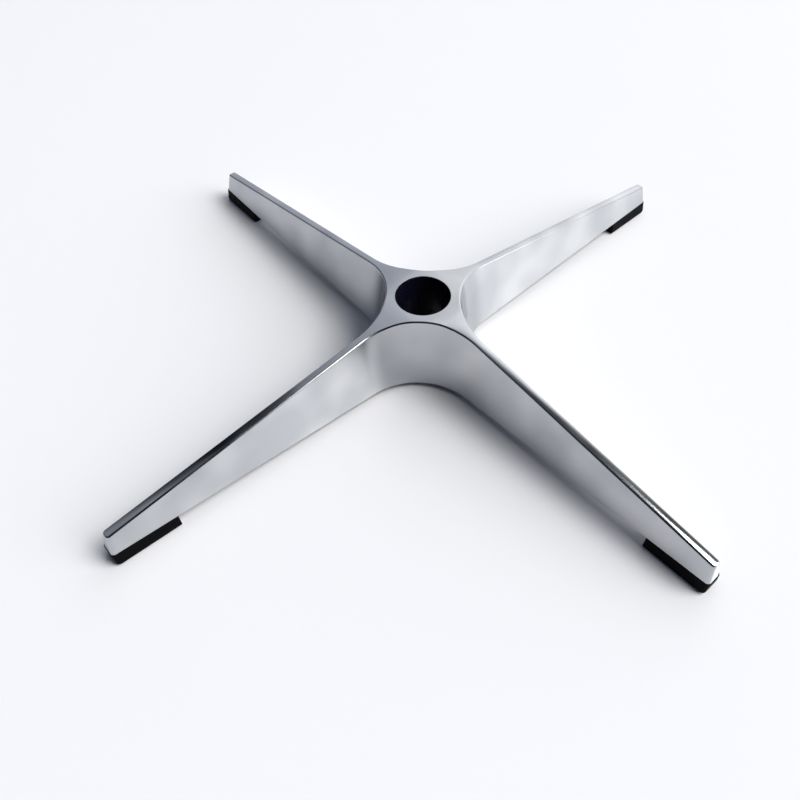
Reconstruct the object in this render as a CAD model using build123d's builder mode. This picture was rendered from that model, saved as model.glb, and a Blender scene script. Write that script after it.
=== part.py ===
import os
from math import radians, tan

from build123d import *

# Driving sizes of a four-armed chair base, in millimetres and degrees
arm_count = 4  # arms of the star, evenly spread round the hub
arm_reach = 330.0  # hub axis to the foot of an arm's end face, at floor level
hub_height = 75.0  # floor to the flat top of the hub
ridge_tip_height = 33.0  # floor to the ridge of an arm, at its end
slope_corner = 34.0  # where the ridge line, carried inwards, meets the hub's top plane
crown_blend_radius = 90.0  # bend between the hub's flat top and the sloping ridges
ridge_root_width = 7.0  # ridge between its sharp edges, next to the hub
ridge_tip_width = 8.4  # ridge between its sharp edges, at the end of the arm
draft_angle = 9.0  # lean of all outer walls
hub_arc_radius = 60.0  # hollow curve from arm to arm round the hub, at floor level
ridge_edge_radius = 1.8  # rounding along the ridges and round the hub's top
tip_corner_radius = 2.4  # rounding of the upright corners at an arm's end
hub_clearance = 6.0  # floor to the lower edge of the hub
tip_clearance = 13.6  # floor to the lower edge of an arm, at its end
rise_start = 75.0  # hub axis to where the lower edge of an arm begins to rise

# Hollow underside of the casting
wall = 3.6  # thickness of the side walls, at their lower edge
ridge_thickness = 10.0  # metal left under the ridges and the hub's top
rib_thickness = 2.6  # ribs across and along the arms
rib_foot = 14.5  # floor to the lower edge of the ribs
cross_rib_places = (118.0, 168.0, 218.0)  # ribs across each arm, from the hub axis
long_rib_reach = 96.0  # rib along each arm, from the hub axis to its end

# Socket in the hub, for the chair's column
socket_radius = 25.0  # straight mouth of the socket
socket_land = 14.0  # length of that straight mouth
socket_taper = 1.3  # lean of the socket's wall below the mouth
socket_wall = 5.0  # metal round the socket, at the hub's top
socket_wall_draft = 3.0  # lean of that metal's outer side
socket_floor = 10.5  # floor to the lower rim of the socket
socket_chamfer = 0.8  # bevel round the mouth

# Foot pads, each under the end of an arm
pad_length = 59.0  # inner end of a pad to the foot of the arm's end face
pad_lip = 0.4  # a pad stands out from the arm's walls by this much
pad_edge_radius = 2.6  # rounding of a pad's lower edges and outer corners
pad_toe_radius = 9.0  # curve of the toe, the lower part of a pad's outer end
pad_toe_inset = 9.7  # arm's end, at floor level, to the centre of that curve
pad_toe_lift = 8.9  # floor to the centre of that curve
tongue_top = 19.0  # floor to the top of the two tongues on a pad, up in the arm's channel
tongue_length = 13.0
tongue_gap = 0.5  # room round the tongues

# Screws that hold the pads, one each, driven from below
screw_inset = 29.0  # arm's end to the screw, at floor level
screw_boss_radius = 5.0  # boss in the arm's channel, between the tongues
screw_hole_top = 26.0  # floor to the end of the screw's hole
screw_hole_gap = 0.05  # room round a screw's shank
shank_radius = 2.0
shank_length = 16.0  # under the head
head_radius = 4.0
head_height = 2.8
head_bevel = 0.8  # bevel round the outer face of the head
head_seat = 5.0  # floor to the seat of a screw's head in the pad
head_gap = 0.4  # room round a screw's head
slot_length = 4.4  # cross recess in the head
slot_width = 1.0
slot_depth = 1.6

# Worked out from the sizes above
lean = tan(radians(draft_angle))
ridge_run = arm_reach - slope_corner
ridge_fall = (hub_height - ridge_tip_height) / ridge_run
root_half = ridge_root_width / 2 + hub_height * lean
tip_half = ridge_tip_width / 2 + ridge_tip_height * lean
plan_fall = (root_half - tip_half) / ridge_run
outside = arm_reach + hub_height
rise = (tip_clearance - hub_clearance) / (arm_reach - rise_start)
socket_foot_radius = socket_radius - (hub_height - socket_land - socket_floor) * tan(radians(socket_taper))
socket_outer_radius = socket_radius + socket_wall + hub_height * tan(radians(socket_wall_draft))
pad_inner_end = arm_reach - pad_length
pad_toe_place = arm_reach - pad_toe_inset
screw_place = arm_reach - screw_inset
screw_hole_radius = shank_radius + screw_hole_gap
tongue_offset = screw_boss_radius + tongue_gap + tongue_length / 2
tongue_end = screw_place + tongue_offset + tongue_length / 2
arm_angles = [360 / arm_count * number for number in range(arm_count)]
steep = 0.5  # a face whose normal rises more than this looks up, an edge that rises more stands upright


def half_width(place):
    """Half the width of an arm's plan at floor level, at a distance from the hub axis."""
    return root_half - plan_fall * (place - slope_corner)


def arm_plan(start, end, grow):
    """Corners of an arm's plan at floor level, from start to end, widened by grow."""
    near = half_width(start) + grow
    far = half_width(end) + grow
    return [(start, -near), (end, -far), (end, far), (start, near)]


tongue_width = 2 * (half_width(tongue_end) - wall - lean * tongue_top - tongue_gap)

os.makedirs("parts", exist_ok=True)

# Space over an arm's ridge and the hub's top, with the bend between them
with BuildPart() as over_ridge:
    with BuildSketch(Plane.XZ) as ridge_line:
        with BuildLine():
            Polyline(
                (0, hub_height),
                (slope_corner, hub_height),
                (outside, hub_height - ridge_fall * (outside - slope_corner)),
                (outside, 2 * hub_height),
                (0, 2 * hub_height),
                close=True,
            )
        make_face()
        bend = ridge_line.vertices().sort_by_distance((slope_corner, hub_height))[0]
        fillet(bend, radius=crown_blend_radius)
    extrude(amount=hub_height, both=True)

# Space under an arm and the hub, up to their lower edge
with BuildPart() as under_arm:
    with BuildSketch(Plane.XZ):
        with BuildLine():
            Polyline(
                (0, 0),
                (outside, 0),
                (outside, hub_clearance + rise * (outside - rise_start)),
                (rise_start, hub_clearance),
                (0, hub_clearance),
                close=True,
            )
        make_face()
    extrude(amount=hub_height, both=True)

# Core of the hollow underside: a smaller star, less the socket's wall, ribs and screw bosses
with BuildPart() as core:
    with BuildSketch() as core_plan:
        with PolarLocations(0, arm_count):
            Polygon(*arm_plan(0, arm_reach - wall, -wall), align=None)
        core_corners = core_plan.vertices().sort_by_distance((0, 0))[:arm_count]
        fillet(core_corners, radius=hub_arc_radius + wall)
    extrude(amount=hub_height, taper=draft_angle)
    with Locations((0, 0, -ridge_thickness)):
        with PolarLocations(0, arm_count):
            add(over_ridge.part, mode=Mode.SUBTRACT)
    with BuildSketch():
        Circle(socket_outer_radius)
    extrude(amount=hub_height, taper=socket_wall_draft, mode=Mode.SUBTRACT)
    with BuildSketch(Plane.XY.offset(rib_foot)):
        with PolarLocations(0, arm_count):
            with Locations((long_rib_reach / 2, 0)):
                Rectangle(long_rib_reach, rib_thickness)
        for place in cross_rib_places:
            with PolarLocations(place, arm_count):
                Rectangle(rib_thickness, 2 * half_width(place))
    extrude(amount=hub_height, mode=Mode.SUBTRACT)
    with BuildSketch():
        with PolarLocations(screw_place, arm_count):
            Circle(screw_boss_radius)
    extrude(amount=hub_height, mode=Mode.SUBTRACT)

# The star, cast in one piece
with BuildPart() as casting:
    with BuildSketch() as star_plan:
        with PolarLocations(0, arm_count):
            Polygon(*arm_plan(0, arm_reach, 0), align=None)
        star_corners = star_plan.vertices().sort_by_distance((0, 0))[:arm_count]
        fillet(star_corners, radius=hub_arc_radius)
    extrude(amount=hub_height, taper=draft_angle)
    uprights = casting.edges().filter_by(lambda edge: abs(edge.tangent_at(0.5).Z) > steep)
    fillet(uprights.sort_by_distance((0, 0, 0))[-2 * arm_count :], radius=tip_corner_radius)
    with PolarLocations(0, arm_count):
        add(over_ridge.part, mode=Mode.SUBTRACT)
    top_faces = casting.faces().filter_by(lambda face: face.normal_at().Z > steep)
    side_edges = casting.faces().filter_by(lambda face: 0 < face.normal_at().Z < steep).edges()
    fillet([edge for edge in top_faces.edges() if edge in side_edges], radius=ridge_edge_radius)
    add(core.part, mode=Mode.SUBTRACT)
    with BuildSketch(Plane.XZ):
        with BuildLine():
            Polyline(
                (0, 0),
                (socket_foot_radius, 0),
                (socket_foot_radius, socket_floor),
                (socket_radius, hub_height - socket_land),
                (socket_radius, hub_height - socket_chamfer),
                (socket_radius + socket_chamfer, hub_height),
                (0, hub_height),
                close=True,
            )
        make_face()
    revolve(axis=Axis.Z, mode=Mode.SUBTRACT)
    with PolarLocations(0, arm_count):
        add(under_arm.part, mode=Mode.SUBTRACT)
    with BuildSketch():
        Circle(socket_outer_radius)
    extrude(amount=socket_floor, mode=Mode.SUBTRACT)
    with BuildSketch():
        with PolarLocations(screw_place, arm_count):
            Circle(screw_hole_radius)
    extrude(amount=screw_hole_top, mode=Mode.SUBTRACT)
casting.part.label = "base_casting"
export_step(casting.part, "parts/base_casting.step")

# One pad under the end of each arm, with two tongues that enter the arm's channel
for number, angle in enumerate(arm_angles, start=1):
    arm = Plane.XY.rotated((0, 0, angle))
    arm_side = Plane(arm.origin, x_dir=arm.x_dir, z_dir=-arm.y_dir)
    inner_end = Plane(arm.from_local_coords((pad_inner_end, 0, 0)), z_dir=arm.x_dir)
    seat_normal = Vector(0, 0, 1) - arm.x_dir * rise
    seat = Plane(arm.from_local_coords((rise_start, 0, hub_clearance)), z_dir=seat_normal)
    with BuildPart() as pad:
        with BuildSketch(arm):
            Polygon(*arm_plan(pad_inner_end - tip_clearance, arm_reach + pad_lip, pad_lip), align=None)
        extrude(amount=tongue_top, taper=draft_angle)
        pad_uprights = pad.edges().filter_by(lambda edge: abs(edge.tangent_at(0.5).Z) > steep)
        outer_corners = pad_uprights.sort_by_distance((0, 0, 0))[-2:]
        lower_edges = pad.edges().group_by(Axis.Z)[0].sort_by_distance((0, 0, 0))[1:]
        fillet(outer_corners + lower_edges, radius=pad_edge_radius)
        with BuildSketch(arm_side):
            with Locations((pad_toe_place, 0)):
                Rectangle(pad_length, pad_toe_lift, align=Align.MIN)
            with Locations((pad_toe_place, pad_toe_lift)):
                Circle(pad_toe_radius, mode=Mode.SUBTRACT)
        extrude(amount=hub_height, both=True, mode=Mode.SUBTRACT)
        split(bisect_by=inner_end, keep=Keep.TOP)
        split(bisect_by=seat, keep=Keep.BOTTOM)
        with BuildSketch(arm.offset(head_seat)):
            with Locations((screw_place - tongue_offset, 0), (screw_place + tongue_offset, 0)):
                Rectangle(tongue_length, tongue_width)
        extrude(amount=tongue_top - head_seat)
        with BuildSketch(arm):
            with Locations((screw_place, 0)):
                Circle(screw_hole_radius)
        extrude(amount=tongue_top, mode=Mode.SUBTRACT)
        with BuildSketch(arm):
            with Locations((screw_place, 0)):
                Circle(head_radius + head_gap)
        extrude(amount=head_seat, mode=Mode.SUBTRACT)
    pad.part.label = f"foot_pad_{number}"
    export_step(pad.part, f"parts/foot_pad_{number}.step")

# One screw, upside down with its head in the pad
with BuildPart() as screw:
    with BuildSketch(Plane.XZ):
        with BuildLine():
            Polyline(
                (0, head_seat - head_height),
                (head_radius - head_bevel, head_seat - head_height),
                (head_radius, head_seat - head_height + head_bevel),
                (head_radius, head_seat),
                (shank_radius, head_seat),
                (shank_radius, head_seat + shank_length),
                (0, head_seat + shank_length),
                close=True,
            )
        make_face()
    revolve(axis=Axis.Z)
    with BuildSketch(Plane.XY.offset(head_seat - head_height)):
        Rectangle(slot_length, slot_width)
        Rectangle(slot_width, slot_length)
    extrude(amount=slot_depth, mode=Mode.SUBTRACT)

# All pad screws, alike
with BuildPart() as pad_screws:
    with PolarLocations(screw_place, arm_count):
        add(screw.part)
pad_screws.part.label = "pad_screws"
export_step(pad_screws.part, "parts/pad_screws.step")
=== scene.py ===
import math

import bpy
import numpy as np
from mathutils import Matrix


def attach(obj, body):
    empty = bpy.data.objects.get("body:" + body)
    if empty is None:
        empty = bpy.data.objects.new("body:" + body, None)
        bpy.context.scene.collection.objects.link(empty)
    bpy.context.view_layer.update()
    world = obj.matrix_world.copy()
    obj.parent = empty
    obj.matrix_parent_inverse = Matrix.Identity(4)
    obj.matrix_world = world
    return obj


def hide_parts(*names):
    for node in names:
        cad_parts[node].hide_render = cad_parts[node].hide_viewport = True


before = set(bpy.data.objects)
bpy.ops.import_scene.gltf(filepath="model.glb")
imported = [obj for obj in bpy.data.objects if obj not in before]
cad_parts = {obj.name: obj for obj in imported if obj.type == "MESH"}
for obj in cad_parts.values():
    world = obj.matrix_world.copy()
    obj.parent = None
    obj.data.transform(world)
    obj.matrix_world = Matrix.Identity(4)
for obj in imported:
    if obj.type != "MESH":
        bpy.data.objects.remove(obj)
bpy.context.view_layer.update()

mm = 0.001  # pieces are worked out in millimetres and stored in metres
print("frame loaded:", sorted(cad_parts))


# surfaces on grids

def unit(v):
    # each vector divided by its own length
    return v / np.linalg.norm(v, axis=-1, keepdims=True)


def turnBetween(start, end, steps):
    # equal turns from one unit vector to another, w being the angle between them and t the share of it:
    # (sin((1 - t) w) start + sin(t w) end) / sin w
    least = 1e-6  # radians, so that equal vectors don't divide by zero
    w = np.maximum(np.arccos(np.clip((start * end).sum(-1), -1, 1)), least)[..., None, None]
    t = np.linspace(0, 1, steps)[:, None]
    return (np.sin((1 - t) * w) * start[..., None, :] + np.sin(t * w) * end[..., None, :]) / np.sin(w)


def roundEdge(edge, normalA, normalB, radius, steps):
    # a ball rolled along the edge of two faces with normals A and B:
    # centre = edge - r (A + B) / (1 + A.B), points = centre + r times the normals from A to B
    centre = edge - radius * (normalA + normalB) / (1 + (normalA * normalB).sum(-1, keepdims=True))
    normals = turnBetween(normalA, normalB, steps)
    return centre[:, None, :] + radius * normals, normals


def ruled(start, end, normals, steps=2):
    # straight lines from each start point to its end point, start + t (end - start), with one normal a line
    t = np.linspace(0, 1, steps)[None, :, None]
    points = start[:, None, :] + (end - start)[:, None, :] * t
    return points, np.broadcast_to(normals[:, None, :], points.shape)


def lathe(profile, angles, centre):
    # (radius, height) points turned round an upright axis, centre + r (cos a, sin a, 0) + z up,
    # each straight piece of the profile with its own normals, dz times the ring less dr times up
    ring = np.stack([np.cos(angles), np.sin(angles), np.zeros_like(angles)], -1)
    up = np.array([0.0, 0.0, 1.0])
    pieces = []
    for (r0, z0), (r1, z1) in zip(profile[:-1], profile[1:]):
        start, end = (centre + r * ring + z * up for r, z in ((r0, z0), (r1, z1)))
        pieces.append(ruled(start, end, unit((z1 - z0) * ring - (r1 - r0) * up)))
    return pieces


def slab(corners):
    # six flat faces of a block given by its 2 x 2 x 2 corners, each normal the cross product of two edges,
    # turned away from the block's middle
    middle = corners.reshape(-1, 3).mean(0)
    faces = []
    for axis in range(3):
        for side in range(2):
            face = np.take(corners, side, axis=axis)
            normal = unit(np.cross(face[1, 0] - face[0, 0], face[0, 1] - face[0, 0]))
            normal = normal * np.sign((face.mean((0, 1)) - middle) @ normal)
            faces.append((face, np.broadcast_to(normal, face.shape)))
    return faces


def turned(patches, angle, mirror=False):
    # patches turned about the upright axis, (x cos a - y sin a, x sin a + y cos a, z),
    # after a mirror in the XZ plane if asked
    c, s = math.cos(angle), math.sin(angle)
    matrix = np.array([[c, -s, 0], [s, c, 0], [0, 0, 1]]) @ np.diag([1, -1 if mirror else 1, 1])
    return [(points @ matrix.T, normals @ matrix.T, slot) for points, normals, slot in patches]


def weld(name, patches, materials):
    # one mesh from many grids: points that round to the same micron become one, each corner keeps its
    # grid's normal, and a face is turned round where its winding disagrees with those normals
    perMillimetre, nudge = 1000, 0.137  # microns, moved off the round values
    points, normals, quads, slots, offset = [], [], [], [], 0
    for patchPoints, patchNormals, slot in patches:
        u, v = patchPoints.shape[:2]
        index = np.arange(u * v).reshape(u, v) + offset
        around = index[:-1, :-1], index[1:, :-1], index[1:, 1:], index[:-1, 1:]
        quad = np.stack(around, -1).reshape(-1, 4)
        points.append(patchPoints.reshape(-1, 3))
        normals.append(patchNormals.reshape(-1, 3))
        quads.append(quad)
        slots.append(np.full(len(quad), slot))
        offset += u * v
    points, normals = np.concatenate(points), np.concatenate(normals)
    quads, slots = np.concatenate(quads), np.concatenate(slots)
    diagonals = points[quads[:, 2]] - points[quads[:, 0]], points[quads[:, 3]] - points[quads[:, 1]]
    facing = (np.cross(*diagonals) * normals[quads].sum(1)).sum(-1)
    quads = np.where((facing < 0)[:, None], quads[:, ::-1], quads)
    keys = np.round(points * perMillimetre + nudge).astype(np.int64)
    _, first, same = np.unique(keys, axis=0, return_index=True, return_inverse=True)
    merged = same.reshape(-1)[quads]
    keep = merged != np.roll(merged, -1, axis=1)
    sides = keep.sum(1)
    crossed = (merged[:, 0] == merged[:, 2]) | (merged[:, 1] == merged[:, 3])
    whole = (sides >= 3) & ~((sides == 4) & crossed)
    faces = [row[mask].tolist() for row, mask in zip(merged[whole], keep[whole])]
    mesh = bpy.data.meshes.new(name)
    mesh.from_pydata((points[first] * mm).tolist(), [], faces)
    mesh.polygons.foreach_set("use_smooth", np.ones(len(faces), bool))
    mesh.polygons.foreach_set("material_index", slots[whole].astype(np.int32))
    mesh.normals_split_custom_set(unit(normals[quads[whole]][keep[whole]]).tolist())
    for material in materials:
        mesh.materials.append(material)
    mesh.update()
    piece = bpy.data.objects.new(name, mesh)
    bpy.context.scene.collection.objects.link(piece)
    print(name, "faces", len(faces))
    return piece


# materials

def linear(hexColour):
    # sRGB hex to linear: ((c + 0.055) / 1.055) ^ 2.4 above 0.04045, else c / 12.92
    c = np.array([int(hexColour[i : i + 2], 16) for i in (1, 3, 5)]) / 255
    return (*np.where(c > 0.04045, ((c + 0.055) / 1.055) ** 2.4, c / 12.92), 1.0)


def addNode(tree, kind, settings, feeds=None):
    # a node, its settings (properties by name, sockets by label or number) and the outputs that feed it
    node = tree.nodes.new(kind)
    for key, value in settings.items():
        if isinstance(key, str) and hasattr(node, key):
            setattr(node, key, value)
        else:
            node.inputs[key].default_value = value
    for key, source in (feeds or {}).items():
        tree.links.new(source, node.inputs[key])
    return node


def newMaterial(name):
    # an empty node material and its tree
    material = bpy.data.materials.new(name)
    material.use_nodes = True
    material.node_tree.nodes.clear()
    return material, material.node_tree


def noise(tree, size, detail):
    # soft noise in the piece's own coordinates, its patches about as wide as a size in millimetres
    place = addNode(tree, "ShaderNodeTexCoord", {}).outputs["Object"]
    settings = {"Scale": 1 / (size * mm), "Detail": detail}
    return addNode(tree, "ShaderNodeTexNoise", settings, {"Vector": place}).outputs["Fac"]


def spread(tree, value, span, reach=(0.0, 1.0), kind="LINEAR"):
    # a value stretched from one span to another, and held at its ends
    settings = {"interpolation_type": kind, "From Min": span[0], "From Max": span[1],
                "To Min": reach[0], "To Max": reach[1]}
    return addNode(tree, "ShaderNodeMapRange", settings, {"Value": value}).outputs["Result"]


def tint(tree, share, colours):
    # a colour between two, by a share
    settings = {"data_type": "RGBA", 6: linear(colours[0]), 7: linear(colours[1])}  # its colour sockets
    return addNode(tree, "ShaderNodeMix", settings, {"Factor": share}).outputs[2]


def bump(tree, height, depth, feeds=None):
    # normals tipped by the slope of a height, with a depth in millimetres
    feeds = {"Height": height, **(feeds or {})}
    return addNode(tree, "ShaderNodeBump", {"Distance": depth * mm}, feeds).outputs["Normal"]


def finish(tree, settings, feeds):
    # one principled shader into the material's output
    shader = addNode(tree, "ShaderNodeBsdfPrincipled", settings, feeds)
    addNode(tree, "ShaderNodeOutputMaterial", {}, {"Surface": shader.outputs["BSDF"]})


polishedLook = {
    "colours": ("#c7c9cc", "#b2b5b9"),  # clear, and slightly dull
    "cloudSize": 52.0,  # mm, hand-polished patches
    "cloudDetail": 1.5,
    "cloudSpan": (0.36, 0.64),  # of the noise, from clear to dull
    "waveSize": 46.0,  # mm, slow waves left under the polish
    "waveDetail": 1.0,
    "waveDepth": 0.16,  # mm
    "grainSize": 1.6,  # mm, faint peel of the buffed skin, coarser than real so that it shows
    "grainDetail": 2.0,
    "grainDepth": 0.0012,  # mm
    "roughness": (0.09, 0.17),
}


def polishedAluminium(look):
    # die-cast aluminium, ground and buffed: a near mirror with slow waves and slightly duller clouds
    material, tree = newMaterial("polished_cast_aluminium")
    cloud = spread(tree, noise(tree, look["cloudSize"], look["cloudDetail"]), look["cloudSpan"])
    waves = bump(tree, noise(tree, look["waveSize"], look["waveDetail"]), look["waveDepth"])
    grain = noise(tree, look["grainSize"], look["grainDetail"])
    finish(tree, {"Metallic": 1.0}, {
        "Base Color": tint(tree, cloud, look["colours"]),
        "Roughness": spread(tree, cloud, (0.0, 1.0), look["roughness"]),
        "Normal": bump(tree, grain, look["grainDepth"], {"Normal": waves}),
    })
    return material


rawLook = {
    "colours": ("#94979a", "#7e8184"),
    "flowSize": 22.0,  # mm, clouds where the metal flowed
    "flowDetail": 5.0,
    "flowSpan": (0.3, 0.7),  # of the noise, from smooth to rough
    "grainSize": 0.9,  # mm, sand-like skin of the raw casting
    "grainDetail": 3.0,
    "grainDepth": 0.05,  # mm
    "roughness": (0.42, 0.6),
}


def rawCasting(look):
    # unpolished skin of the die casting under the arms: dull grey metal, fine grain and faint flow clouds
    material, tree = newMaterial("raw_cast_aluminium")
    flow = noise(tree, look["flowSize"], look["flowDetail"])
    grain = noise(tree, look["grainSize"], look["grainDetail"])
    finish(tree, {"Metallic": 1.0}, {
        "Base Color": tint(tree, flow, look["colours"]),
        "Roughness": spread(tree, flow, look["flowSpan"], look["roughness"]),
        "Normal": bump(tree, grain, look["grainDepth"]),
    })
    return material


socketLook = {
    "colours": ("#0b0b1b", "#131326"),
    "grainSize": 1.1,  # mm, flow of the coating
    "grainDetail": 3.0,
    "grainSpan": (0.3, 0.7),  # of the noise, from glossy to satin
    "grainDepth": 0.02,  # mm
    "roughness": (0.18, 0.3),
    "index": 1.45,
}


def socketBlack(look):
    # black coating on the wall of the socket: deep blue-black with a satin gloss
    material, tree = newMaterial("black_socket_coating")
    grain = noise(tree, look["grainSize"], look["grainDetail"])
    finish(tree, {"IOR": look["index"]}, {
        "Base Color": tint(tree, grain, look["colours"]),
        "Roughness": spread(tree, grain, look["grainSpan"], look["roughness"]),
        "Normal": bump(tree, grain, look["grainDepth"]),
    })
    return material


padLook = {
    "colours": ("#020206", "#05050a"),  # clean, and scuffed
    "scuffSize": 9.0,  # mm
    "scuffDetail": 6.0,
    "scuffSpan": (0.55, 0.8),  # of the noise, where the scuffs show
    "dullSpan": (0.3, 0.7),  # of the noise, from satin to dull
    "grainSize": 0.8,  # mm, spark-eroded mould grain, coarser than real so that it shows
    "grainDetail": 2.0,
    "grainDepth": 0.03,  # mm
    "roughness": (0.5, 0.64),
    "index": 1.5,
    "gloss": 0.06,  # share of the plain gloss that the grain leaves
}


def mouldedNylon(look):
    # black nylon moulded in a spark-eroded tool: nearly black and dull, with a fine even grain
    material, tree = newMaterial("moulded_black_nylon")
    scuff = noise(tree, look["scuffSize"], look["scuffDetail"])
    grain = noise(tree, look["grainSize"], look["grainDetail"])
    finish(tree, {"IOR": look["index"], "Specular IOR Level": look["gloss"]}, {
        "Base Color": tint(tree, spread(tree, scuff, look["scuffSpan"]), look["colours"]),
        "Roughness": spread(tree, scuff, look["dullSpan"], look["roughness"]),
        "Normal": bump(tree, grain, look["grainDepth"]),
    })
    return material


zincLook = {
    "colours": ("#b9bcc0", "#a3a49f"),
    "spangleSize": 0.7,  # mm, patches of the plating
    "spangleDetail": 3.0,
    "spangleSpan": (0.3, 0.7),  # of the noise, from bright to dull
    "roughness": (0.22, 0.38),
}


def zincPlate(look):
    # zinc-plated steel: bright grey with duller patches and a soft gloss
    material, tree = newMaterial("zinc_plated_steel")
    spangle = noise(tree, look["spangleSize"], look["spangleDetail"])
    finish(tree, {"Metallic": 1.0}, {
        "Base Color": tint(tree, spangle, look["colours"]),
        "Roughness": spread(tree, spangle, look["spangleSpan"], look["roughness"]),
    })
    return material


polished, raw, black = polishedAluminium(polishedLook), rawCasting(rawLook), socketBlack(socketLook)
nylon, zinc = mouldedNylon(padLook), zincPlate(zincLook)
print("materials made")


# the star casting

star = {
    "arms": 4,
    "hubHeight": 75.0,
    "armReach": 330.0,  # hub axis to the foot of an arm's end face, at floor level
    "tipHeight": 33.0,  # ridge at the end of an arm
    "slopeCorner": 34.0,  # where the ridge line meets the hub's top plane
    "bendRadius": 90.0,  # between the hub's top and the ridge
    "rootWidth": 7.0,  # ridge between its sharp edges next to the hub
    "tipWidth": 8.4,  # and at the arm's end
    "draft": 9.0,  # degrees, lean of the outer walls
    "arcRadius": 60.0,  # hollow curve from arm to arm, at floor level
    "crestRadius": 1.8,  # rounding along the ridges
    "cornerRadius": 3.2,  # upright corners at an arm's end
    "lowRadius": 0.5,  # broken lower edge of the walls
    "hubClearance": 6.0,  # floor to the lower edge of the hub
    "tipClearance": 13.6,  # and of an arm, at its end
    "riseStart": 75.0,  # where an arm's lower edge begins to rise
    "wall": 3.6,
    "roofThickness": 10.0,  # metal under the ridges
    "domeRadius": 26.0,  # the polished ridges are slightly round across
    "domeFrom": 38.0,  # flat at the hub, round from here
    "domeTo": 90.0,  # to here
    "rimRadius": 25.3,  # outer edge of the socket's bevel
    "socketRadius": 25.0,
    "socketLand": 14.0,
    "socketTaper": 1.3,  # degrees
    "socketFloor": 10.5,  # lower rim of the socket
    "bossRadius": 30.0,  # metal round the socket at the hub's top
    "bossDraft": 3.0,  # degrees
    "ribThickness": 2.6,
    "ribFoot": 14.5,
    "ribSink": 1.0,  # the ribs run this far into the walls
    "crossRibs": (118.0, 168.0, 218.0),
    "longRib": 96.0,
    "screwPlace": 301.0,
    "screwBoss": 5.0,
    "screwHole": 2.05,
    "screwHoleTop": 26.0,
    "tipPoints": 6,  # across half an arm's end
    "cornerPoints": 11,
    "sideStops": (320.0, 75.0, 50),  # first and last place along an arm's side, and how many between
    "arcPoints": 40,
    "wallPoints": 15,  # up the outer wall
    "crestPoints": 10,
    "lowPoints": 5,
    "topPoints": 10,  # from the ridge's edge to the middle
    "innerPoints": 6,  # up the inner wall
    "ceilingPoints": 5,
    "bossPoints": 33,  # round a screw boss
    "hubFrom": 62.0,  # columns nearer than this fan out round the socket
    "atRim": 0.42,  # share of those columns that still end on the arm's middle line
}
lean = math.tan(math.radians(star["draft"]))
ridgeFall = (star["hubHeight"] - star["tipHeight"]) / (star["armReach"] - star["slopeCorner"])
rootHalf = star["rootWidth"] / 2 + star["hubHeight"] * lean
tipHalf = star["tipWidth"] / 2 + star["tipHeight"] * lean
planFall = (rootHalf - tipHalf) / (star["armReach"] - star["slopeCorner"])
planStart = rootHalf + planFall * star["slopeCorner"]  # half width carried in to the hub axis
planSlant = math.hypot(1, planFall)
rise = (star["tipClearance"] - star["hubClearance"]) / (star["armReach"] - star["riseStart"])
sideNormal = np.array([planFall, 1.0]) / planSlant
sideRun = np.array([-1.0, planFall]) / planSlant  # along an arm's side, towards the hub
armTurns = [2 * math.pi / star["arms"] * k for k in range(star["arms"])]
polishedSlot, rawSlot, blackSlot = range(3)  # the casting's materials, in this order
onlySlot = 0  # of the pieces in one material


def ridgeLine(x):
    # height of the ridge: level, then a round bend, then a straight fall, tangent to each other
    bend = star["bendRadius"] * math.tan(math.atan(ridgeFall) / 2)
    start = star["slopeCorner"] - bend
    end = star["slopeCorner"] + bend * math.cos(math.atan(ridgeFall))
    inBend = np.clip(x, start, end) - start
    drop = star["bendRadius"] - np.sqrt(star["bendRadius"] ** 2 - inBend**2)
    return star["hubHeight"] - drop - ridgeFall * np.maximum(x - end, 0)


def roof(x, y):
    # ridge height less a shallow round fall to both sides, y squared over twice the dome's radius,
    # which fades in from the hub by s s (3 - 2 s)
    share = np.clip((x - star["domeFrom"]) / (star["domeTo"] - star["domeFrom"]), 0, 1)
    return ridgeLine(x) - share * share * (3 - 2 * share) * y**2 / (2 * star["domeRadius"])


def lowerEdge(x, y=0):
    # height of the lower edge, the same at every y: level under the hub, then a straight rise to the end
    return star["hubClearance"] + rise * np.maximum(x - star["riseStart"], 0)


def ceiling(x, y=0):
    # height of the hollow's ceiling, the same at every y: ridge height less the metal under the ridge
    return ridgeLine(x) - star["roofThickness"]


def roofNormal(x, y):
    # upward normal (-dz/dx, -dz/dy, 1) of the roof, by central differences
    step = 1e-3
    slopeX = (roof(x + step, y) - roof(x - step, y)) / (2 * step)
    slopeY = (roof(x, y + step) - roof(x, y - step)) / (2 * step)
    return unit(np.stack([-slopeX, -slopeY, np.ones_like(x)], -1))


def circle(angles):
    # points (cos a, sin a) of a circle of radius one
    return np.stack([np.cos(angles), np.sin(angles)], -1)


def upright(plan, z):
    # plan points with a height
    return np.concatenate([plan, np.broadcast_to(z, plan.shape[:-1])[..., None]], -1)


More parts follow.
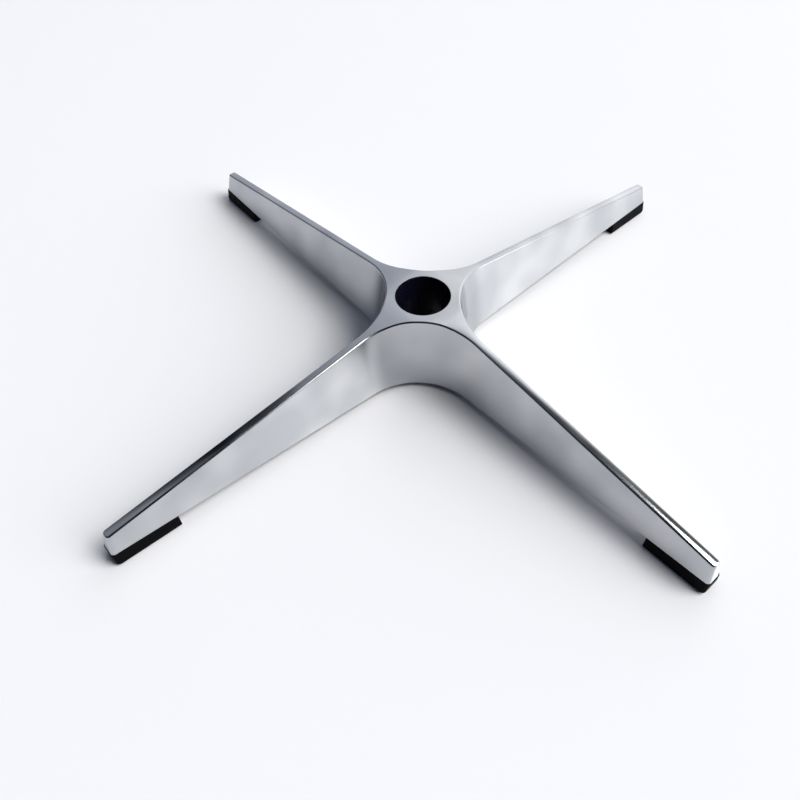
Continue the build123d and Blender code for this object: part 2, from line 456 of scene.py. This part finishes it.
def outlineOfHalfArm():
    # plan of half an arm at floor level, from the middle of its end to the diagonal between two arms:
    # sharp points, outward normals, and the way each point moves for one unit of inward offset
    reach, tips, corners = star["armReach"], star["tipPoints"], star["cornerPoints"]
    cornerY = planStart - planFall * reach
    cornerMove = np.array([-1.0, planFall - planSlant])
    y = np.linspace(0, cornerY, tips)
    tip = np.stack([np.full(tips, reach), y], -1)
    tipMove = np.stack([np.full(tips, -1.0), cornerMove[1] * y / cornerY], -1)
    sideTurn = math.atan2(sideNormal[1], sideNormal[0])
    arcCentre = (star["arcRadius"] * planSlant + planStart) / (1 + planFall)
    arcStart = arcCentre - star["arcRadius"] * sideNormal[0]
    stops = np.linspace(*star["sideStops"])
    x = np.concatenate([[reach], stops[(stops > arcStart) & (stops < reach)], [arcStart]])
    side = np.stack([x, planStart - planFall * x], -1)
    slide = (planSlant - planFall) * (x - arcStart) / (reach - arcStart)
    sideMove = slide[:, None] * sideRun - sideNormal
    arcNormal = circle(np.linspace(sideTurn, math.pi / 4, star["arcPoints"]))
    arc = arcCentre - star["arcRadius"] * arcNormal
    sharp = np.concatenate([tip, np.tile([reach, cornerY], (corners, 1)), side, arc])
    normal = np.concatenate([np.tile([1.0, 0.0], (tips, 1)), circle(np.linspace(0, sideTurn, corners)),
                             np.tile(sideNormal, (len(x), 1)), arcNormal])
    move = np.concatenate([tipMove, np.tile(cornerMove, (corners, 1)), sideMove, -arcNormal])
    return sharp, normal, move


def halfArm():
    # one eighth of the casting as grids: column by column along the outline, section by section up the wall,
    # over the ridge to the arm's middle or the socket, down the socket, and inside the hollow
    sharp, normal, move = outlineOfHalfArm()
    corner, hub = star["cornerRadius"], star["hubHeight"]
    level = np.zeros(len(sharp))

    def outer(z):
        # outer wall at height z: sharp plan moved in by the draft and rounded at the corner
        return sharp + (corner + lean * z)[:, None] * move + corner * normal

    def inner(z):
        # inner wall at height z, one wall thickness further in than the sharp plan
        return sharp + (star["wall"] + lean * z)[:, None] * move

    def meet(plan, surface):
        # points where a leaning wall meets a surface: the height is put back into the plan until it settles
        z, rounds = level + hub, 40
        for _ in range(rounds):
            z = surface(*plan(z).T)
        return upright(plan(z), z)

    def fan(start, radius, farEnd, hubStart):
        # plan point on the far side of each column: on the arm's middle line, or on a circle round the socket
        alongHub = hubStart + (radius - hubStart) * alongMiddle
        onMiddle = np.where(share > 0, alongHub, np.minimum(start[:, 0], farEnd))
        return np.where((angle > 0)[:, None], radius * circle(angle), np.stack([onMiddle, level], -1))

    wallNormal = unit(upright(normal, -lean * (move * normal).sum(-1)))
    edge = meet(outer, roof)
    topNormal = roofNormal(edge[:, 0], edge[:, 1])
    crest, crestNormals = roundEdge(edge, wallNormal, topNormal, star["crestRadius"], star["crestPoints"])
    crest[..., 2] = np.minimum(crest[..., 2], roof(crest[..., 0], crest[..., 1]))
    lowEdge = meet(outer, lowerEdge)
    onSlope = lowEdge[:, 2] > star["hubClearance"]
    underNormal = unit(np.stack([np.where(onSlope, rise, 0.0), level, level - 1], -1))
    low, lowNormals = roundEdge(lowEdge, wallNormal, underNormal, star["lowRadius"], star["lowPoints"])
    patches = [(*ruled(low[:, 0], crest[:, 0], wallNormal, star["wallPoints"]), polishedSlot),
               (crest, crestNormals, polishedSlot), (low, lowNormals, polishedSlot)]

    # across the ridge to the middle of the arm, or to the socket's rim
    start = crest[:, -1, :2]
    share = np.clip((star["hubFrom"] - start[:, 0]) / (star["hubFrom"] - start[-1, 0]), 0, 1)
    atRim = star["atRim"]
    turnPoint = np.argmin(np.abs(share - atRim))
    before = share * atRim / share[turnPoint]
    after = 1 - (1 - share) * (1 - atRim) / (1 - share[turnPoint])
    share = np.where(share <= share[turnPoint], before, after)
    alongMiddle = np.clip(share / atRim, 0, 1)
    angle = math.pi / 4 * np.clip((share - atRim) / (1 - atRim), 0, 1)
    rim = star["rimRadius"]
    middle = fan(start, rim, start[:, 0].max() - star["tipWidth"] / 2, star["hubFrom"])
    across = np.linspace(0, 1, star["topPoints"])[None, :, None]
    plan = start[:, None, :] + (middle - start)[:, None, :] * across
    top = upright(plan, roof(plan[..., 0], plan[..., 1]))
    top[:, 0] = crest[:, -1]
    patches.append((top, roofNormal(plan[..., 0], plan[..., 1]), polishedSlot))

    # lower rim, inner wall and ceiling of the hollow
    innerFoot, innerHead = meet(inner, lowerEdge), meet(inner, ceiling)
    patches.append((*ruled(low[:, -1], innerFoot, underNormal), rawSlot))
    patches.append((*ruled(innerFoot, innerHead, -wallNormal, star["innerPoints"]), rawSlot))
    bossSlope = math.tan(math.radians(star["bossDraft"]))
    bossTop = star["bossRadius"] + star["roofThickness"] * bossSlope
    hollowEnd = innerHead[0, 0] - innerHead[star["tipPoints"] - 1, 1]
    middle = fan(innerHead, bossTop, hollowEnd, innerHead[np.argmax(share > 0), 0])
    across = np.linspace(0, 1, star["ceilingPoints"])[None, :, None]
    plan = innerHead[:, None, :2] + (middle - innerHead[:, :2])[:, None, :] * across
    overhead = upright(plan, ceiling(plan[..., 0]))
    patches.append((overhead, -roofNormal(plan[..., 0], np.zeros_like(plan[..., 0])), rawSlot))

    # socket: bevel, straight land, taper, lower rim, then the outside of its wall
    angles = angle[turnPoint:]
    mouth, floor, landFoot = star["socketRadius"], star["socketFloor"], hub - star["socketLand"]
    foot = mouth - (landFoot - floor) * math.tan(math.radians(star["socketTaper"]))
    bossFoot = star["bossRadius"] + (hub - floor) * bossSlope
    rows = [(rim, hub), (mouth, hub - (rim - mouth)), (mouth, landFoot), (foot, floor), (bossFoot, floor)]
    rowSlots = rawSlot, blackSlot, blackSlot, rawSlot
    for piece, slot in zip(lathe(rows, angles, np.zeros(3)), rowSlots):
        patches.append((*piece, slot))
    bossLow = upright(bossFoot * circle(angles), floor)
    bossNormal = unit(upright(circle(angles), bossSlope))
    patches.append((*ruled(bossLow, overhead[turnPoint:, -1], bossNormal), rawSlot))
    return patches


def ribsOfArm():
    # ribs across and along one arm, and the screw boss: blocks and a turned post that run into the walls
    half, foot, sink = star["ribThickness"] / 2, star["ribFoot"], star["ribSink"]
    place, boss, hole = star["screwPlace"], star["screwBoss"], star["screwHole"]
    patches = []

    def halfInside(x, z):
        # half width of the hollow at a place and height
        return planStart - planFall * x - (star["wall"] + lean * z) * planSlant

    for rib in star["crossRibs"]:
        heights = foot, ceiling(rib) + sink
        patches += slab(np.array([[[[x, side * (halfInside(rib, z) + sink), z] for z in heights]
                                   for side in (-1, 1)] for x in (rib - half, rib + half)]))
    ends = star["bossRadius"] + sink, star["longRib"]
    patches += slab(np.array([[[[x, y, z] for z in (foot, ceiling(x) + sink)]
                               for y in (-half, half)] for x in ends]))
    head, top, seat = ceiling(place) + sink, star["screwHoleTop"], lowerEdge(place + boss)
    rows = [(0, top), (hole, top), (hole, seat), (boss, seat), (boss, head), (0, head)]
    patches += lathe(rows, np.linspace(0, 2 * math.pi, star["bossPoints"]), np.array([place, 0, 0]))
    return [(points, normals, rawSlot) for points, normals in patches]


eighth, ribs = halfArm(), ribsOfArm()
allPatches = [p for turn in armTurns for mirror in (False, True) for p in turned(eighth, turn, mirror)]
allPatches += [p for turn in armTurns for p in turned(ribs, turn)]
casting = weld("star_casting", allPatches, [polished, raw, black])
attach(casting, "root")
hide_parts("base_casting")


# the foot pads

padShape = {
    "innerEnd": 271.0,  # hub axis to the pad's inner end
    "lip": 0.4,  # the pad stands out from the arm's walls
    "edgeRadius": 2.6,  # lower side edges and outer corners
    "toeRadius": 4.2,  # lower edge at the outer end
    "toeSlant": 1.0,  # degrees, the outer end runs in towards the floor
    "brokenEdge": 0.6,  # round the inner end
    "recess": 4.4,  # radius of the hole for the screw's head
    "recessBevel": 0.3,
    "recessTop": 5.0,
    "tongueFoot": 6.0,  # inside the pad
    "tongueTop": 19.0,
    "tongueLength": 13.0,
    "tongueOffset": 12.0,  # from the screw to the middle of a tongue
    "tongueHalf": 2.2,
    "flatPoints": 25,  # along the bottom
    "toePoints": 14,
    "edgePoints": 8,
    "acrossPoints": 6,  # across half the toe
    "wallPoints": 5,  # up the side wall
    "bendPoints": 5,  # round the inner end's broken edge
}


def halfPad():
    # half a pad as grids: a profile (bottom, round toe, slanting end) drawn across from the middle to the
    # side wall, a ball rolled along the edge between them, then the wall, the inner end, the seat, the
    # bottom and the screw's hole
    shape = padShape
    flats, toes, edges, bends = (shape[k] for k in ("flatPoints", "toePoints", "edgePoints", "bendPoints"))
    slant = math.tan(math.radians(shape["toeSlant"]))
    endFoot = star["armReach"] + shape["lip"] - (lean + slant) * lowerEdge(star["armReach"])
    wallNormal = unit(np.array([planFall, 1.0, lean]))
    seatNormal = unit(np.array([-rise, 0.0, 1.0]))
    seatPoint = np.array([star["riseStart"], 0.0, star["hubClearance"]])
    down, back = np.array([0.0, 0.0, -1.0]), np.array([-1.0, 0.0, 0.0])
    out = unit(np.array([1.0, 0.0, -slant]))

    def toSeat(points, way):
        # points slid along a direction until they lie on the seat's plane
        return points + way * (((seatPoint - points) @ seatNormal) / (way @ seatNormal))[..., None]

    def wallAt(x, z):
        # half width of the pad at a place and height
        return planStart + shape["lip"] - planFall * x - lean * z

    corner = np.array([[endFoot, 0.0, 0.0]])
    toe, toeNormals = roundEdge(corner, down[None], out[None], shape["toeRadius"], toes)
    toe, toeNormals = toe[0], toeNormals[0]
    start = shape["innerEnd"] + shape["brokenEdge"]
    flat = np.linspace([start, 0.0, 0.0], toe[0], flats + 1)[:-1]
    profile = np.concatenate([flat, toe, toSeat(toe[-1:], np.array([slant, 0.0, 1.0]))])
    normals = np.concatenate([np.tile(down, (flats, 1)), toeNormals, out[None]])
    edge = profile.copy()
    edge[:, 1] = wallAt(profile[:, 0], profile[:, 2])
    wallNormals = np.tile(wallNormal, (len(edge), 1))
    ball, ballNormals = roundEdge(edge, wallNormals, normals, shape["edgeRadius"], edges)
    ball[-1] = toSeat(ball[-1], np.cross(wallNormal, out))
    middle = ball[:, -1] * np.array([1.0, 0.0, 1.0])
    toeFace = ruled(middle[flats:], ball[flats:, -1], normals[flats:], shape["acrossPoints"])

    # side wall up to the seat
    wallFoot = ball[:, 0]
    toeX = np.linspace(wallFoot[flats, 0], ball[-1, 0, 0], toes + 1)
    topX = np.concatenate([wallFoot[:flats, 0], toeX])
    onFloor = np.stack([topX, wallAt(topX, 0.0), np.zeros(len(topX))], -1)
    wallTop = toSeat(onFloor, np.array([0.0, -lean, 1.0]))
    wallTop[-1] = ball[-1, 0]
    wall = ruled(wallFoot, wallTop, wallNormals, shape["wallPoints"])

    # inner end: a small round from the bottom and the wall to a flat cap, both cut off at the seat
    inners = bends + 2  # as many points as the seat's rim has past the wall
    innerRow = ruled(middle[:1], ball[:1, -1], down[None], inners)[0][0]
    section = np.concatenate([innerRow, ball[0, ::-1], wall[0][0]])
    sectionNormals = np.concatenate([np.tile(down, (inners, 1)), ballNormals[0, ::-1], wall[1][0]])
    turns = turnBetween(sectionNormals, np.tile(back, (len(section), 1)), bends)
    bend = section[:, None, :] + shape["brokenEdge"] * (turns - sectionNormals[:, None, :])
    bend[-1] = toSeat(bend[-1], -down)
    topMiddle = toSeat(bend[:1, -1], -down)
    capRim = np.concatenate([bend[:, -1], topMiddle])
    capCentre = np.tile((capRim[0] + capRim[-1]) / 2, (len(capRim), 1))
    cap = ruled(capRim, capCentre, np.tile(back, (len(capRim), 1)))

    # seat and bottom, each from its rim to a ring round the screw, and the recess and hole between the rings
    axis = np.array([star["screwPlace"], 0.0, 0.0])
    toeCorner = np.tile(ball[flats, -1], (edges + toes + 1, 1))  # one point that faces the seat's whole toe
    seatRim = np.concatenate([toeFace[0][-1], ball[-1, ::-1], wallTop[::-1], bend[-1], topMiddle])
    footRim = np.concatenate([toeFace[0][0], toeCorner, ball[flats - 1 : 0 : -1, -1], innerRow[::-1]])
    seatWay, footWay = (unit((rim - axis) * np.array([1.0, 1.0, 0.0])) for rim in (seatRim, footRim))
    recess, bevel, top = shape["recess"], shape["recessBevel"], shape["recessTop"]
    rows = [(recess + bevel, 0.0), (recess, bevel), (recess, top)]
    walls = lathe(rows, np.arctan2(footWay[:, 1], footWay[:, 0]), axis)
    roofMiddle = axis - down * top
    seatRing = toSeat(axis + star["screwHole"] * seatWay, -down)
    holeRing = roofMiddle + star["screwHole"] * seatWay
    downs = np.tile(down, (len(footRim), 1))
    patches = [(ball, ballNormals), toeFace, wall, (bend, turns), cap]
    patches += [(points, -ways) for points, ways in walls]
    patches.append(ruled(seatRim, seatRing, np.tile(seatNormal, (len(seatRim), 1))))
    patches.append(ruled(footRim, axis + (recess + bevel) * footWay, downs))
    patches.append(ruled(roofMiddle + recess * footWay, holeRing, downs))
    patches.append(ruled(holeRing, seatRing, -seatWay))
    return [(points, ways, onlySlot) for points, ways in patches]


def padTongues():
    # two blocks on top of a pad that stand up in the arm's channel
    patches = []
    half, span = padShape["tongueHalf"], padShape["tongueLength"] / 2
    heights = padShape["tongueFoot"], padShape["tongueTop"]
    for side in (-1, 1):
        place = star["screwPlace"] + side * padShape["tongueOffset"]
        patches += slab(np.array([[[[x, y, z] for z in heights] for y in (-half, half)]
                                  for x in (place - span, place + span)]))
    return [(points, normals, onlySlot) for points, normals in patches]


padPatches = halfPad()
padPatches = padPatches + turned(padPatches, 0, True) + padTongues()
for number, turn in enumerate(armTurns, 1):
    pad = weld(f"pad_{number}", turned(padPatches, turn), [nylon])
    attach(pad, "root")
    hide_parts(f"foot_pad_{number}")


# the pad screws

screwShape = {
    "face": 2.2,  # floor to the outer face of the head
    "seat": 5.0,
    "headRadius": 4.0,
    "rimRadius": 1.1,  # rounded rim of the pan head
    "shankRadius": 2.0,
    "shankTop": 21.0,
    "shankBevel": 0.5,
    "crossHalf": 2.2,  # half length of the cross recess
    "slotHalf": 0.5,
    "slotTop": 3.8,
    "endPoints": 4,  # across half a slot's end
    "sidePoints": 6,  # along half a slot's side
    "rimPoints": 7,
}


def eighthScrew():
    # an eighth of a screw about its own axis: cross recess, pan head with a round rim, plain shank
    shape = screwShape
    long, half, face = shape["crossHalf"], shape["slotHalf"], shape["face"]
    ends, sides, least = shape["endPoints"], shape["sidePoints"], 1e-9
    turn = math.atan2(half, long)
    angles = np.concatenate([np.linspace(0, turn, ends), np.linspace(turn, math.pi / 4, sides)])
    atEnd = np.arange(ends + sides) < ends
    reach = np.where(atEnd, long / np.cos(angles), half / np.maximum(np.sin(angles), least))
    ring = circle(angles)
    mouth = upright(reach[:, None] * ring, face)
    bottom = upright(reach[:, None] * ring, shape["slotTop"])
    walls = np.where(atEnd[:, None], [-1.0, 0.0, 0.0], [0.0, -1.0, 0.0])
    down = np.tile([0.0, 0.0, -1.0], (len(angles), 1))
    patches = [ruled(mouth[part], bottom[part], walls[part]) for part in (atEnd, ~atEnd)]
    patches.append(ruled(bottom, bottom * np.array([0.0, 0.0, 1.0]), down))
    head, curve = shape["headRadius"], shape["rimRadius"]
    patches.append(ruled(mouth, upright((head - curve) * ring, face), down))
    bend = np.linspace(0, math.pi / 2, shape["rimPoints"])
    turns = upright(np.sin(bend)[None, :, None] * ring[:, None, :], -np.cos(bend))
    centres = upright((head - curve) * ring, face + curve)
    patches.append((centres[:, None, :] + curve * turns, turns))
    shank, top, bevel = shape["shankRadius"], shape["shankTop"], shape["shankBevel"]
    profile = [(head, face + curve), (head, shape["seat"]), (shank, shape["seat"]),
               (shank, top - bevel), (shank - bevel, top), (0.0, top)]
    patches += lathe(profile, angles, np.zeros(3))
    return [(points, normals, onlySlot) for points, normals in patches]


quarters = [math.pi / 2 * k for k in range(4)]  # the cross recess looks the same after each
screwEighth = eighthScrew()
screwPatches = [p for turn in quarters for mirror in (False, True) for p in turned(screwEighth, turn, mirror)]
shift = np.array([star["screwPlace"], 0.0, 0.0])
placed = [(points + shift, normals, slot) for points, normals, slot in screwPatches]
screws = weld("screws", [p for turn in armTurns for p in turned(placed, turn)], [zinc])
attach(screws, "root")
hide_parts("pad_screws")


# camera, floor and light

def direction(azimuth, elevation):
    # unit vector (cos a cos e, sin a cos e, sin e) from angles in degrees, the azimuth counted from +X
    a, e = math.radians(azimuth), math.radians(elevation)
    return np.array([math.cos(a) * math.cos(e), math.sin(a) * math.cos(e), math.sin(e)])


def stand(thing, right, up, back, place):
    # an object in the scene with its own axes and place, in metres
    rows = [[right[i], up[i], back[i], place[i]] for i in range(3)]
    thing.matrix_world = Matrix(rows + [[0, 0, 0, 1]])
    bpy.context.scene.collection.objects.link(thing)


shot = {
    "azimuth": -41.69,  # degrees from +X
    "elevation": 48.90,
    "roll": -0.27,
    "distance": 774.7,  # mm, from the hub's foot along the view
    "aside": 0.50,  # mm, the hub's foot from the view axis
    "below": 11.21,
    "focal": 802.8,  # pixels
    "centre": (422.6, 363.0),  # pixels, where the view axis meets the picture
    "frame": 800.0,  # pixels
    "sensor": 36.0,  # mm
    "clip": (0.01, 100.0),  # m
}


def placeCamera(shot):
    # camera axes: back from azimuth and elevation, right = forward x up, then right and up turned by the roll
    back, roll = direction(shot["azimuth"], shot["elevation"]), math.radians(shot["roll"])
    right = unit(np.cross(-back, [0, 0, 1.0]))
    up = np.cross(right, -back)
    right, up = math.cos(roll) * right + math.sin(roll) * up, math.cos(roll) * up - math.sin(roll) * right
    place = shot["distance"] * back - shot["aside"] * right - shot["below"] * up
    half = shot["frame"] / 2
    data = bpy.data.cameras.new("camera")
    data.sensor_width = shot["sensor"]
    data.lens = shot["focal"] / shot["frame"] * shot["sensor"]
    data.shift_x = (half - shot["centre"][0]) / shot["frame"]
    data.shift_y = (shot["centre"][1] - half) / shot["frame"]
    data.clip_start, data.clip_end = shot["clip"]
    camera = bpy.data.objects.new("camera", data)
    stand(camera, right, up, back, place * mm)
    bpy.context.scene.camera = camera


ground = {
    "colour": "#f4f5fa",
    "half": 4.0,  # m, from the middle to a side
    "gap": 0.02,  # mm, under the pads
    "roughness": 0.32,  # of its sheen
    "index": 2.0,
}


def paleFloor(look):
    # wide white board under the pads: plain and matt to the camera, with a soft sheen in the metal's
    # reflections, and unseen from below so that the underside can be looked at
    material, tree = newMaterial("pale_floor")
    colour = linear(look["colour"])
    matt = addNode(tree, "ShaderNodeBsdfDiffuse", {"Color": colour})
    sheenSettings = {"Base Color": colour, "Roughness": look["roughness"], "IOR": look["index"]}
    sheen = addNode(tree, "ShaderNodeBsdfPrincipled", sheenSettings)
    seen = addNode(tree, "ShaderNodeLightPath", {}).outputs["Is Camera Ray"]
    board = addNode(tree, "ShaderNodeMixShader", {}, {0: seen, 1: sheen.outputs[0], 2: matt.outputs[0]})
    clear = addNode(tree, "ShaderNodeBsdfTransparent", {})
    below = addNode(tree, "ShaderNodeNewGeometry", {}).outputs["Backfacing"]
    blend = addNode(tree, "ShaderNodeMixShader", {}, {0: below, 1: board.outputs[0], 2: clear.outputs[0]})
    addNode(tree, "ShaderNodeOutputMaterial", {}, {"Surface": blend.outputs[0]})
    mesh = bpy.data.meshes.new("floor")
    h, z = look["half"], -look["gap"] * mm
    mesh.from_pydata([(-h, -h, z), (h, -h, z), (h, h, z), (-h, h, z)], [], [(0, 1, 2, 3)])
    mesh.materials.append(material)
    floor = bpy.data.objects.new("floor", mesh)
    bpy.context.scene.collection.objects.link(floor)


studio = {
    "boxAzimuth": 42.0,  # degrees from +X, a soft box high at the picture's right
    "boxElevation": 56.0,
    "boxDistance": 14.0,  # m
    "boxSize": (8.4, 6.3),  # m
    "boxPower": 1375.0,  # W
    "boxColour": "#fffdf8",
    "windowAzimuth": 33.0,  # a low window on the same side
    "windowElevation": 30.0,
    "windowReach": 28.0,  # degrees from its middle to where it has faded
    "windowLevel": 4.1,
    "windowColour": "#fffefc",
    "wall": "#fcfdff",  # the room on the right and behind the base
    "shade": "#eef3ff",  # on the left
    "dusk": "#adc7ff",  # behind the camera, and in one dark gap on the left
    "seam": -90.0,  # degrees, where the room begins and ends, behind the camera's left shoulder
    "room": (  # azimuth in degrees, brightness and colour
        (-90, 0.06, "dusk"), (0, 0.06, "dusk"), (60, 1.0, "wall"), (95, 1.40, "wall"), (115, 1.52, "wall"),
        (126, 1.10, "wall"), (136, 1.02, "wall"), (141, 0.74, "shade"), (150, 0.68, "shade"),
        (158, 0.62, "shade"), (170, 0.58, "shade"), (174, 0.02, "dusk"), (186, 0.01, "dusk"),
        (192, 0.18, "shade"), (198, 0.38, "shade"), (206, 0.36, "shade"), (240, 0.12, "dusk"),
        (270, 0.06, "dusk"),
    ),
    "topAzimuth": 35.0,  # degrees, the dark ceiling comes lower towards here
    "topElevation": 65.0,  # degrees, the middle of that ceiling
    "topFrom": 49.0,  # degrees over the tilted horizon where the room begins to darken
    "topTo": 60.5,  # and where it is darkest
    "topLevel": 0.05,
    "backdrop": "#f4f5fa",  # what the camera sees past the floor
}


def softBox(studio):
    # large area lamp that looks at the hub from its azimuth and elevation
    way = direction(studio["boxAzimuth"], studio["boxElevation"])
    right = unit(np.cross([0, 0, 1.0], way))
    data = bpy.data.lights.new("soft_box", "AREA")
    data.shape = "RECTANGLE"
    data.size, data.size_y = studio["boxSize"]
    data.energy = studio["boxPower"]
    data.color = linear(studio["boxColour"])[:3]
    lamp = bpy.data.objects.new("soft_box", data)
    stand(lamp, right, np.cross(way, right), way, way * studio["boxDistance"])


def roomWorld(studio):
    # room round the base: brightness by azimuth, faded to a dark ceiling above a tilted circle, plus a round
    # window with a soft edge, and a plain backdrop for the camera alone
    world = bpy.data.worlds.new("room")
    bpy.context.scene.world = world
    world.use_nodes = True
    tree = world.node_tree
    tree.nodes.clear()
    way = addNode(tree, "ShaderNodeTexCoord", {}).outputs["Generated"]
    parts = addNode(tree, "ShaderNodeSeparateXYZ", {}, {0: way})
    minusX = addNode(tree, "ShaderNodeMath", {"operation": "MULTIPLY", 1: -1.0}, {0: parts.outputs["X"]})
    sides = {0: minusX.outputs[0], 1: parts.outputs["Y"]}  # their angle is zero opposite the seam
    angle = addNode(tree, "ShaderNodeMath", {"operation": "ARCTAN2"}, sides)
    share = spread(tree, angle.outputs[0], (-math.pi, math.pi))
    ramp = addNode(tree, "ShaderNodeValToRGB", {}, {"Fac": share})
    wholeTurn = 360
    first, *middle, last = [((azimuth - studio["seam"]) / wholeTurn, level * np.array(linear(studio[colour])))
                            for azimuth, level, colour in studio["room"]]
    stops = ramp.color_ramp.elements
    stops[0].position, stops[0].color = first
    stops[1].position, stops[1].color = last
    for position, colour in middle:
        stops.new(position).color = colour

    def nearness(azimuth, elevation):
        # cosine of the angle between a ray and a direction
        settings = {"operation": "DOT_PRODUCT", 1: direction(azimuth, elevation)}
        return addNode(tree, "ShaderNodeVectorMath", settings, {0: way}).outputs["Value"]

    low, high = (math.sin(math.radians(studio[k])) for k in ("topFrom", "topTo"))
    height = nearness(studio["topAzimuth"], studio["topElevation"])
    fade = spread(tree, height, (low, high), (1.0, studio["topLevel"]), "SMOOTHSTEP")
    edge = math.cos(math.radians(studio["windowReach"]))
    near = nearness(studio["windowAzimuth"], studio["windowElevation"])
    window = spread(tree, near, (edge, 1.0), (0.0, studio["windowLevel"]), "SMOOTHSTEP")
    walls = addNode(tree, "ShaderNodeBackground", {}, {"Color": ramp.outputs["Color"], "Strength": fade})
    pane = {"Color": linear(studio["windowColour"])}
    light = addNode(tree, "ShaderNodeBackground", pane, {"Strength": window})
    both = addNode(tree, "ShaderNodeAddShader", {}, {0: walls.outputs[0], 1: light.outputs[0]})
    backdrop = addNode(tree, "ShaderNodeBackground", {"Color": linear(studio["backdrop"])})
    seen = addNode(tree, "ShaderNodeLightPath", {}).outputs["Is Camera Ray"]
    blend = addNode(tree, "ShaderNodeMixShader", {}, {0: seen, 1: both.outputs[0], 2: backdrop.outputs[0]})
    addNode(tree, "ShaderNodeOutputWorld", {}, {"Surface": blend.outputs[0]})


placeCamera(shot)
paleFloor(ground)
softBox(studio)
roomWorld(studio)
bpy.context.scene.view_settings.view_transform = "Standard"
print("camera, floor and light set")
